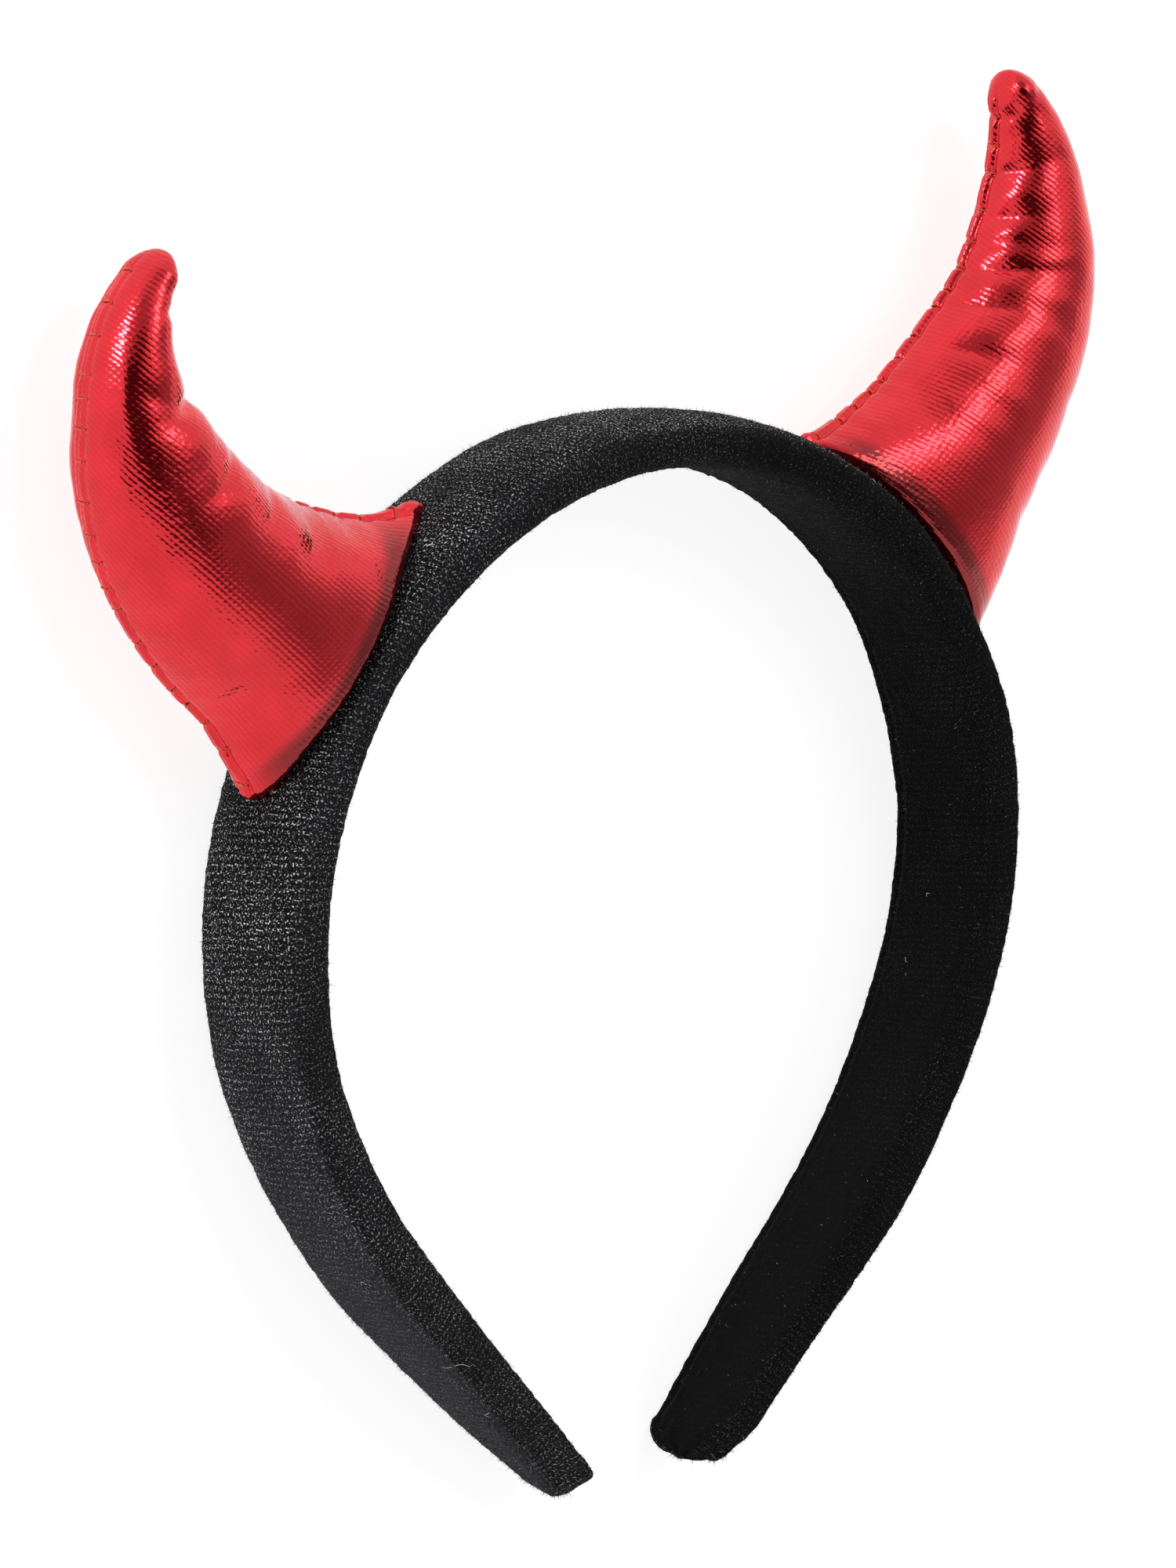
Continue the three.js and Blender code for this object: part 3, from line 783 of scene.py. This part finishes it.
class Finish:
    """A node material with a Principled shader, and short ways to add to it."""

    def __init__(self, name):
        self.material = bpy.data.materials.new(name)
        self.material.use_nodes = True
        self.nodes = self.material.node_tree.nodes
        self.links = self.material.node_tree.links
        self.shader = self.nodes["Principled BSDF"]

    def put(self, socket, value):
        """A link if the value comes from a node, otherwise the socket's own value."""
        if isinstance(value, bpy.types.NodeSocket):
            self.links.new(value, socket)
        else:
            socket.default_value = value

    def set(self, **values):
        for name, value in values.items():
            self.put(self.shader.inputs[name.replace("_", " ")], value)

    def add(self, kind, output=0, settings=None, **values):
        node = self.nodes.new(kind)
        for name, value in (settings or {}).items():
            setattr(node, name, value)
        for name, value in values.items():
            key = int(name[1:]) if name[0] == "i" and name[1:].isdigit() else name.replace("_", " ")
            self.put(node.inputs[key], value)
        return node.outputs[output]

    def math(self, operation, a, b=0.0, clamp=False):
        return self.add("ShaderNodeMath", settings={"operation": operation, "use_clamp": clamp}, i0=a, i1=b)

    def noise(self, place, scale, detail=2.0, roughness=0.5, distortion=0.0):
        return self.add("ShaderNodeTexNoise", Vector=place, Scale=scale, Detail=detail,
                        Roughness=roughness, Distortion=distortion)

    def ramp(self, value, low, high, to_low=0.0, to_high=1.0):
        """Straight line from (low, to_low) to (high, to_high), clamped."""
        return self.add("ShaderNodeMapRange", Value=value, From_Min=low, From_Max=high, To_Min=to_low, To_Max=to_high)

    def mix(self, share, a, b):
        node = self.nodes.new("ShaderNodeMix")
        node.data_type = "RGBA"
        self.put(node.inputs[0], share)
        self.put(node.inputs[6], a)
        self.put(node.inputs[7], b)
        return node.outputs[2]

    def cloth_place(self, turn=0.0, stretch=(1, 1, 1)):
        """The piece's own flat cloth in metres, turned and stretched."""
        flat = self.add("ShaderNodeUVMap", settings={"uv_map": "cloth"})
        return self.add("ShaderNodeMapping", Vector=flat, Rotation=(0, 0, turn), Scale=stretch)

    def wave(self, drift, turn, pitch):
        """Sine of 0 to 1 over the flat cloth, one crest to a pitch, along a
        direction turned by so much, with every place moved by a small drift."""
        place = self.add("ShaderNodeVectorMath", settings={"operation": "ADD"}, i0=self.cloth_place(turn), i1=drift)
        wave = self.nodes.new("ShaderNodeTexWave")
        self.put(wave.inputs["Vector"], place)
        wave.inputs["Scale"].default_value = math.pi / 10 / pitch
        return wave.outputs["Fac"]

    def space(self):
        return self.add("ShaderNodeTexCoord", "Object")

    def bump(self, height, depth, under=None):
        values = {"Height": height, "Distance": depth}
        if under is not None:
            values["Normal"] = under
        return self.add("ShaderNodeBump", **values)


def foil_finish(size):
    """Red metallised knit: bead-like stitches in slanting rows, crinkles, a clear top
    layer that gives the white highlights, and painted shade along the foot."""
    foil = Finish("red foil knit")
    space = foil.space()
    drift = foil.add("ShaderNodeTexNoise", 1, Vector=space, Scale=500.0, Detail=2.0)
    drift = foil.add("ShaderNodeVectorMath", settings={"operation": "SCALE"}, i0=drift, Scale=0.35 * MM)
    rows = foil.wave(drift, math.radians(size.weave_slant - 90), size.weave_pitch)
    beads = foil.wave(drift, math.radians(size.weave_slant + 16), size.weave_pitch * 1.1)
    knit = foil.math("MULTIPLY", foil.math("POWER", rows, 0.6), foil.ramp(beads, 0, 1, 0.55, 1.0))
    patches = foil.ramp(foil.noise(space, 75.0, 2.0), 0.42, 0.62)
    crinkle = foil.add("ShaderNodeTexVoronoi", settings={"feature": "SMOOTH_F1"}, Vector=space, Scale=1100.0)
    fine = foil.noise(space, 2600.0, 2.0)
    bumps = foil.bump(knit, 0.034 * MM)
    bumps = foil.bump(foil.math("MULTIPLY", crinkle, patches), 0.07 * MM, bumps)
    bumps = foil.bump(fine, 0.014 * MM, bumps)
    gaps = foil.ramp(knit, 0.0, 0.5, 1.0, 0.0)
    tone = foil.mix(foil.ramp(foil.noise(space, 160.0, 3.0), 0.35, 0.65), (*size.foil_deep, 1), (*size.foil_bright, 1))
    colour = foil.mix(foil.math("MULTIPLY", gaps, 0.3), tone, (*size.foil_gap, 1))
    # Painted shade: near-black red mixed in along the foot, where the cloth turns under and reflects the black velvet
    hem_and_painted_shade = foil.add("ShaderNodeAttribute", 2, settings={"attribute_name": "hem_and_painted_shade"})
    colour = foil.mix(foil.math("MULTIPLY", hem_and_painted_shade, 0.75), colour, (0.1, 0.001, 0.002, 1))
    foil.set(Base_Color=colour, Metallic=0.95, Normal=bumps,
             Roughness=foil.ramp(fine, 0.3, 0.7, 0.1, 0.19))
    foil.shader.inputs["Coat Weight"].default_value = 0.7
    foil.shader.inputs["Coat Roughness"].default_value = 0.13
    foil.shader.inputs["Specular Tint"].default_value = (1.0, 0.35, 0.4, 1)
    foil.put(foil.shader.inputs["Coat Normal"], bumps)
    return foil.material


def velvet_finish(size):
    """Black velvet in fine ribs across the width, with glinting pile ends. The
    pile leans one way along the sleeve, so the outer face and the left limb's
    edge catch the light, and the inner face and the right limb's edge don't.
    That light and shade is painted into the colour, as are a painted sheen
    towards the outline and down the limbs, and a painted highlight along the
    crease near the left tip."""
    velvet = Finish("black velvet")
    cloth = velvet.cloth_place()
    space = velvet.space()
    drift = velvet.add("ShaderNodeTexNoise", "Color", Vector=space, Scale=260.0, Detail=3.0)
    moved = velvet.add("ShaderNodeVectorMath", settings={"operation": "ADD"}, i0=cloth, i1=velvet.add(
        "ShaderNodeVectorMath", settings={"operation": "SCALE"}, i0=drift, Scale=1.1 * MM))
    ribs = velvet.nodes.new("ShaderNodeTexWave")
    velvet.put(ribs.inputs["Vector"], velvet.add("ShaderNodeMapping", Vector=moved, Rotation=(0, 0, math.radians(6))))
    ribs.inputs["Scale"].default_value = math.pi / 10 / size.rib_pitch
    ribs = velvet.ramp(ribs.outputs["Fac"], 0.1, 0.75)
    outside = velvet.add("ShaderNodeAttribute", 2, settings={"attribute_name": "outside"})
    edge = velvet.add("ShaderNodeAttribute", 2, settings={"attribute_name": "edge"})
    run = velvet.add("ShaderNodeSeparateXYZ", 0, Vector=cloth)
    face = velvet.math("SUBTRACT", 1.0, edge)
    # Down both limbs the faces are smoother, with less texture where the pile lies flat, and their lighter tone is
    # painted sheen
    flat = velvet.math("MULTIPLY", velvet.ramp(velvet.math("ABSOLUTE", run), 0.1, 0.16), face)
    crisp = velvet.math("SUBTRACT", 1.0, velvet.math("ADD", velvet.math("MULTIPLY", flat, 0.75),
                                                     velvet.math("MULTIPLY", edge, 0.5)))
    bundles = velvet.ramp(velvet.noise(velvet.add("ShaderNodeMapping", Vector=moved, Scale=(3400, 2700, 1)), 1.0, 1.0),
                          0.38, 0.7)
    specks = velvet.ramp(velvet.noise(velvet.add("ShaderNodeMapping", Vector=cloth, Scale=(3900, 3200, 1)), 1.0, 0.0),
                         0.58, 0.74)
    swept = velvet.ramp(velvet.noise(space, 85.0, 3.0), 0.38, 0.62, 0.45, 1.0)
    tone = velvet.math("MULTIPLY", velvet.math("MULTIPLY", velvet.ramp(ribs, 0, 1, 0.2, 1.0), bundles), swept)
    tone = velvet.math("ADD", velvet.math("MULTIPLY", tone, crisp), velvet.math("MULTIPLY", flat, 0.92))
    tone = velvet.math("ADD", tone, velvet.math("MULTIPLY", edge, 0.26))
    # Painted highlight: a light line along the crease between the outer face and the front edge, towards the left tip
    painted_crease_highlight = velvet.math("MULTIPLY", velvet.math("MULTIPLY", edge, face), velvet.ramp(run, -0.14, -0.1, 2.0, 0.0))
    tone = velvet.math("ADD", tone, painted_crease_highlight)
    # Painted sheen: the tone lightens where the surface turns away from the view, towards the outline
    facing = velvet.add("ShaderNodeLayerWeight", 1, Blend=0.5)
    tone = velvet.math("ADD", tone, velvet.ramp(facing, 0.8, 1.0, 0.0, 0.4))
    # Painted light and shade: the outer face, the left limb's edge and, less, the right tip's edge keep their tone and
    # glints. The inner face and the rest of the right limb's edge are darkened
    lean = velvet.math("MAXIMUM", velvet.ramp(run, -0.05, 0.02, 1.0, 0.08), velvet.ramp(run, 0.18, 0.197, 0.0, 0.22))
    lit = velvet.math("ADD", velvet.math("MULTIPLY", outside, face), velvet.math("MULTIPLY", edge, lean))
    ground = velvet.mix(velvet.math("MULTIPLY", tone, velvet.ramp(lit, 0, 1, 0.12, 1.0)), (*size.velvet_deep, 1),
                        (*size.velvet_swept_and_lit, 1))
    glint = velvet.math("MULTIPLY", velvet.math("MULTIPLY", specks, velvet.ramp(ribs, 0, 1, 0.25, 1.0)), crisp)
    glint = velvet.math("MULTIPLY", glint, velvet.math("MULTIPLY", swept, velvet.ramp(lit, 0, 1, 0.06, 1.0)))
    colour = velvet.mix(glint, ground, (*size.velvet_glint, 1))
    bumps = velvet.bump(velvet.math("MULTIPLY", ribs, lit), 0.12 * MM)
    bumps = velvet.bump(velvet.math("MULTIPLY", bundles, crisp), 0.12 * MM, bumps)
    velvet.set(Base_Color=colour, Roughness=0.85, Normal=bumps)
    velvet.shader.inputs["Sheen Weight"].default_value = 0.015
    velvet.shader.inputs["Sheen Roughness"].default_value = 0.3
    velvet.shader.inputs["Sheen Tint"].default_value = (0.75, 0.78, 0.85, 1)
    velvet.shader.inputs["Specular IOR Level"].default_value = 0.04
    return velvet.material


def pile_finish(size):
    """Pile ends: the velvet's black, with some that catch the light."""
    pile = Finish("velvet pile")
    spots = pile.noise(pile.space(), 1300.0, 1.0)
    colour = pile.mix(pile.ramp(spots, 0.55, 0.75), (*size.velvet_deep, 1), (*size.velvet_glint, 1))
    pile.set(Base_Color=colour, Roughness=0.7)
    pile.shader.inputs["Specular IOR Level"].default_value = 0.06
    return pile.material


def thread_finish(size):
    """Orange-red sewing thread with a twist."""
    thread = Finish("sewing thread")
    twist = thread.noise(thread.space(), 2500.0, 2.0)
    colour = thread.mix(twist, (*size.thread_colour, 1), (*[c * 0.5 for c in size.thread_colour], 1))
    thread.set(Base_Color=colour, Roughness=0.6, Normal=thread.bump(twist, 0.08 * MM))
    return thread.material


def pale_finish(name, colour, roughness, glow):
    """Pale matt finish with a slight mottle, for the floor, which glows as a
    light table does so that shadows stay faint."""
    pale = Finish(name)
    shade = pale.ramp(pale.noise(pale.space(), 3.0, 2.0), 0.3, 0.7)
    tone = pale.mix(shade, (*colour, 1), (*[c * 0.985 for c in colour], 1))
    pale.set(Base_Color=tone, Roughness=roughness, Emission_Color=(1, 1, 1, 1), Emission_Strength=glow)
    return pale.material


def length_setting(name, description, default):
    return bpy.props.FloatProperty(name=name, description=description, default=default, min=0,
                                   unit="LENGTH", precision=5)


def colour_setting(name, description, default):
    return bpy.props.FloatVectorProperty(name=name, description=description, default=default, min=0, max=1,
                                         size=3, subtype="COLOR")


def power_setting(name, description, default):
    return bpy.props.FloatProperty(name=name, description=description, default=default, min=0, unit="POWER")


class HeadbandVelvetSettings(bpy.types.PropertyGroup):
    """Sizes and colours of the velvet band."""

    length: length_setting("Length", "From tip to tip along the middle line", 0.417)
    width: length_setting("Width", "Back edge to front edge at the crown", 0.024)
    thickness: length_setting("Thickness", "Inner face to outer face, padding included", 0.009)
    squash: length_setting("Squash", "How far the padding flattens where it rests", 0.0007)
    tip_rounding: length_setting("Tip rounding", "Length of the rounding at each tip", 0.006)
    rib_pitch: length_setting("Rib pitch", "From one rib of the velvet to the next", 0.00104)
    velvet_deep: colour_setting("Velvet", "Colour of the pile face on", (0.0028, 0.0028, 0.0031))
    # Lighter velvet colour: where the pile is swept at random, and where light and sheen are painted on
    velvet_swept_and_lit: colour_setting("Swept velvet", "Colour where the pile is swept", (0.024, 0.024, 0.0265))
    velvet_glint: colour_setting("Velvet glint", "Colour of glinting pile ends", (0.62, 0.625, 0.64))


class HeadbandFoilSettings(bpy.types.PropertyGroup):
    """Sizes and colours of the two horns."""

    foot: length_setting("Foot", "Length of a horn's foot along the band", 0.045)
    ear: length_setting("Ear", "How far the crown end of a foot flares along the band", 0.0035)
    depth: length_setting("Depth", "Front panel to back panel where it is fullest", 0.023)
    left_length: length_setting("Left length", "Left horn along its middle line", 0.076)
    right_length: length_setting("Right length", "Right horn along its middle line", 0.081)
    seat_gap: length_setting("Seat gap", "Between the band and a horn's foot", 0.0003)
    stitch_pitch: length_setting("Stitch pitch", "From one pull of the thread to the next", 0.0044)
    weave_pitch: length_setting("Weave pitch", "From one row of the knit to the next", 0.00076)
    weave_slant: bpy.props.FloatProperty(name="Weave slant", description="Degrees that the knit's rows are turned",
                                         default=39.0, min=-90, max=90)
    foil_deep: colour_setting("Deep foil", "Darker red of the foil", (0.66, 0.006, 0.014))
    foil_bright: colour_setting("Bright foil", "Brighter red of the foil", (0.78, 0.009, 0.022))
    foil_gap: colour_setting("Foil gaps", "Red between the knit's beads", (0.35, 0.003, 0.008))
    thread_colour: colour_setting("Thread", "Colour of the sewing thread", (0.72, 0.09, 0.03))


class HeadbandStudioSettings(bpy.types.PropertyGroup):
    """Floor, lights and camera."""

    floor_size: length_setting("Floor size", "Side of the square floor", 8.0)
    floor_colour: colour_setting("Floor", "Colour of the floor", (0.22, 0.22, 0.22))
    floor_glow: bpy.props.FloatProperty(name="Floor glow", description="Light that the floor gives out", default=0.86,
                                        min=0)
    camera_lens: bpy.props.FloatProperty(name="Lens", description="Focal length", default=180.0, min=1,
                                         unit="CAMERA")
    key_power: power_setting("Key power", "Power of the soft box on the left", 12.0)
    side_power: power_setting("Side power", "Power of the soft box above", 4.5)
    room: bpy.props.FloatProperty(name="Room", description="Strength of the light from all round", default=1.0,
                                  min=0)


def dress(piece, slot, *nodes):
    """Rides the piece on the headband and hides the parts that it replaces. The slot is not used."""
    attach(piece, "root")
    if nodes:
        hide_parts(*nodes)


def both_horns(band, size):
    """The two horns by node name."""
    return {
        "horn_left": Horn(band, size, -1, size.left_length, 0.3, -4.5, (13, 14), 3.4, LEFT_HORN_ROWS, LEFT_DENTS),
        "horn_right": Horn(band, size, 1, size.right_length, 0.284, 2.5, (21, 0), 1.3, RIGHT_HORN_ROWS, RIGHT_DENTS),
    }


class HEADBAND_OT_velvet_band(bpy.types.Operator):
    """Makes the padded band in its velvet sleeve"""

    bl_idname = "headband.velvet_band"
    bl_label = "Velvet Band"

    def execute(self, context):
        size = context.scene.headband_velvet
        band = Band(size)
        grid, run, outside, edge = band_grid(band)
        arc = arc_round(grid)
        left = np.stack([np.broadcast_to(run[:, None], arc[:, :-1].shape), arc[:, :-1]], axis=-1)
        right = np.stack([np.broadcast_to(run[:, None], arc[:, 1:].shape), arc[:, 1:]], axis=-1)
        poles = band.point(np.array([-1.0, 1.0]), 0, 0)
        points = np.concatenate([grid.reshape(-1, 3), poles]) + band.shift
        faces = skin_faces(*grid.shape[:2])
        piece = add_piece("velvet_band", points, *faces, velvet_finish(size),
                          grid_corners(left, right, (-band.half, 0), (band.half, 0)))
        for name, share in (("outside", outside), ("edge", edge)):
            layer = piece.data.attributes.new(name, "FLOAT", "POINT")
            layer.data.foreach_set("value", np.append(share, [1, 1]).astype(np.float32))
        dress(piece, "velvet", "headband")
        tufts = pile_tufts(grid, outside, PILE_TUFTS)
        first = 4 * np.arange(len(tufts))[:, None, None]
        sides = first + np.array([(0, 1, 3), (1, 2, 3), (2, 0, 3), (2, 1, 0)])
        piece = add_piece("velvet_pile", tufts.reshape(-1, 3) + band.shift, np.empty((0, 4), dtype=int),
                          sides.reshape(-1, 3), pile_finish(size))
        dress(piece, "velvet")
        for name, rows, radius, colour in (("lint", LINT, 0.032, (0.5, 0.5, 0.47)), ("glue_bits", GLUE_BITS, 0.1, (0.6, 0.58, 0.58))):
            paths = surface_paths(grid, run, rows) + band.shift
            thin = radius * MM * (1.1 - np.abs(np.linspace(-1, 1, paths.shape[1])) ** 3)
            piece = add_strands(name, paths, thin, 6, pale_finish("pale " + name.replace("_", " "), colour, 0.5, 0.0))
            dress(piece, "velvet")
        return {"FINISHED"}


class HEADBAND_OT_foil_horns(bpy.types.Operator):
    """Makes both stuffed horns, with the thread of their seams"""

    bl_idname = "headband.foil_horns"
    bl_label = "Foil Horns"

    def execute(self, context):
        size = context.scene.headband_foil
        foil, thread = foil_finish(size), thread_finish(size)
        for name, horn in both_horns(Band(context.scene.headband_velvet), size).items():
            grid, cloth, stitch, hem_and_painted_shade = horn_grid(horn)
            centre, cap = horn_cap(horn, grid[0])
            rings = np.concatenate([cap, grid])
            tip = on_line(horn.line, 1.0)
            tip = np.array([*tip, horn.band.middle_at(tip[1])])
            poles = placed(horn, np.stack([centre, tip]))
            points = np.concatenate([placed(horn, rings).reshape(-1, 3), poles])
            front, back = cloth
            under = np.repeat(np.concatenate([front[:1], back[:1]], axis=0)[:, None], len(cap), axis=1)
            front, back = np.concatenate([under[0], front]), np.concatenate([under[1], back])
            left = np.concatenate([front[:, :-1], back[:, :-1]], axis=1)
            right = np.concatenate([front[:, 1:], back[:, 1:]], axis=1)
            piece = add_piece(name + "_foil", points, *skin_faces(*rings.shape[:2]), foil,
                              grid_corners(left, right, left[0].mean(axis=0), left[-1].mean(axis=0)))
            # Share of painted shade along the foot, read by the foil's colour
            layer = piece.data.attributes.new("hem_and_painted_shade", "FLOAT", "POINT")
            hem_and_painted_shade = np.concatenate([np.repeat(hem_and_painted_shade[:1], len(cap), axis=0), hem_and_painted_shade])
            layer.data.foreach_set("value", np.append(hem_and_painted_shade, [1, 0]).astype(np.float32))
            dress(piece, "foil_knit", name)
            stitches = self.stitches(horn, placed(horn, grid), stitch)
            piece = add_strands(name + "_stitches", stitches, 0.14 * MM, 6, thread)
            dress(piece, "foil_knit")
        return {"FINISHED"}

    def stitches(self, horn, grid, stitch):
        """Paths of the thread: at each pull it comes out of one groove, goes
        over the rim and into the groove of the other panel."""
        pitch, turn = horn.size.stitch_pitch, grid.shape[1] // 2
        normal = outward(grid)
        sides = np.arange(THREAD_COLUMN, -THREAD_COLUMN - 1, -1)
        lift = 0.1 * MM - 0.25 * MM * np.abs(sides / THREAD_COLUMN) ** 8
        paths = []
        for seam, first in ((stitch[0], 0), (stitch[1], turn)):
            pulls = np.arange(1, int((seam[-1] - 4 * MM) / pitch) + 1) * pitch
            row = np.searchsorted(seam, pulls)[:, None]
            column = (first + sides)[None, :] % grid.shape[1]
            paths.append(grid[row, column] + normal[row, column] * lift[:, None])
        return np.concatenate(paths)


class HEADBAND_OT_studio(bpy.types.Operator):
    """Makes the floor, the soft lights and the camera"""

    bl_idname = "headband.studio"
    bl_label = "Studio"

    def execute(self, context):
        studio = context.scene.headband_studio
        half = studio.floor_size / 2
        mesh = bpy.data.meshes.new("floor")
        mesh.from_pydata([(-half, -half, 0), (half, -half, 0), (half, half, 0), (-half, half, 0)], [], [(0, 1, 2, 3)])
        mesh.materials.append(pale_finish("pale floor", studio.floor_colour, 0.8, studio.floor_glow))
        floor = bpy.data.objects.new("floor", mesh)
        context.collection.objects.link(floor)
        self.light("key_soft_box", (-1.35, 0.9, 0.17), (0.46, 0.36), studio.key_power)
        self.light("side_soft_box", (0.45, 0.85, 1.4), (0.6, 0.5), studio.side_power)
        context.scene.world = self.room(studio.room)
        context.scene.view_settings.view_transform = "Standard"
        camera = bpy.data.objects.new("camera", bpy.data.cameras.new("camera"))
        camera.data.lens = studio.camera_lens
        camera.location = CAMERA_PLACE
        camera.rotation_euler = [math.radians(angle) for angle in CAMERA_TURN]
        context.collection.objects.link(camera)
        context.scene.camera = camera
        return {"FINISHED"}

    def room(self, strength):
        """Even light from all round, but for dark corners: each is a ramp of
        the cosine between a direction and the corner's, and the darkest wins."""
        world = bpy.data.worlds.new("room")
        world.use_nodes = True
        nodes, links = world.node_tree.nodes, world.node_tree.links
        direction = nodes.new("ShaderNodeTexCoord")
        darkest = None
        for corner, inner, outer, left in DARK_CORNERS:
            facing = nodes.new("ShaderNodeVectorMath")
            facing.operation = "DOT_PRODUCT"
            facing.inputs[1].default_value = Vector(corner).normalized()
            shade = nodes.new("ShaderNodeMapRange")
            shade.interpolation_type = "SMOOTHSTEP"
            for name, value in (("From Min", math.cos(math.radians(outer))), ("From Max", math.cos(math.radians(inner))),
                                ("To Min", strength), ("To Max", strength * left)):
                shade.inputs[name].default_value = value
            links.new(direction.outputs["Generated"], facing.inputs[0])
            links.new(facing.outputs["Value"], shade.inputs["Value"])
            if darkest is not None:
                lower = nodes.new("ShaderNodeMath")
                lower.operation = "MINIMUM"
                links.new(darkest, lower.inputs[0])
                links.new(shade.outputs["Result"], lower.inputs[1])
                darkest = lower.outputs["Value"]
            else:
                darkest = shade.outputs["Result"]
        links.new(darkest, nodes["Background"].inputs["Strength"])
        nodes["Background"].inputs["Color"].default_value = (1, 1, 1, 1)
        return world

    def light(self, name, place, size, power):
        """Rectangular soft box at a place, facing the headband."""
        lamp = bpy.data.lights.new(name, "AREA")
        lamp.shape = "RECTANGLE"
        lamp.size, lamp.size_y = size
        lamp.energy = power
        box = bpy.data.objects.new(name, lamp)
        box.location = place
        box.rotation_euler = (-Vector(place)).to_track_quat("-Z", "Y").to_euler()
        bpy.context.collection.objects.link(box)


class HEADBAND_PT_panel(bpy.types.Panel):
    """Lists the pieces of the headband and their settings"""

    bl_label = "Headband"
    bl_space_type = "VIEW_3D"
    bl_region_type = "UI"
    bl_category = "Headband"

    def draw(self, context):
        for settings, operators in PANEL_ROWS:
            box = self.layout.box()
            group = getattr(context.scene, settings)
            for name in group.__annotations__:
                box.prop(group, name)
            for operator in operators:
                box.operator(operator)


PANEL_ROWS = (
    ("headband_velvet", ("headband.velvet_band",)),
    ("headband_foil", ("headband.foil_horns",)),
    ("headband_studio", ("headband.studio",)),
)
CLASSES = (
    HeadbandVelvetSettings,
    HeadbandFoilSettings,
    HeadbandStudioSettings,
    HEADBAND_OT_studio,
    HEADBAND_OT_velvet_band,
    HEADBAND_OT_foil_horns,
    HEADBAND_PT_panel,
)


def register():
    for cls in CLASSES:
        bpy.utils.register_class(cls)
    bpy.types.Scene.headband_velvet = bpy.props.PointerProperty(type=HeadbandVelvetSettings)
    bpy.types.Scene.headband_foil = bpy.props.PointerProperty(type=HeadbandFoilSettings)
    bpy.types.Scene.headband_studio = bpy.props.PointerProperty(type=HeadbandStudioSettings)


def unregister():
    del bpy.types.Scene.headband_studio
    del bpy.types.Scene.headband_foil
    del bpy.types.Scene.headband_velvet
    for cls in reversed(CLASSES):
        bpy.utils.unregister_class(cls)


def main():
    register()
    bpy.ops.headband.studio()
    bpy.ops.headband.velvet_band()
    bpy.ops.headband.foil_horns()


if __name__ == "__main__":
    main()
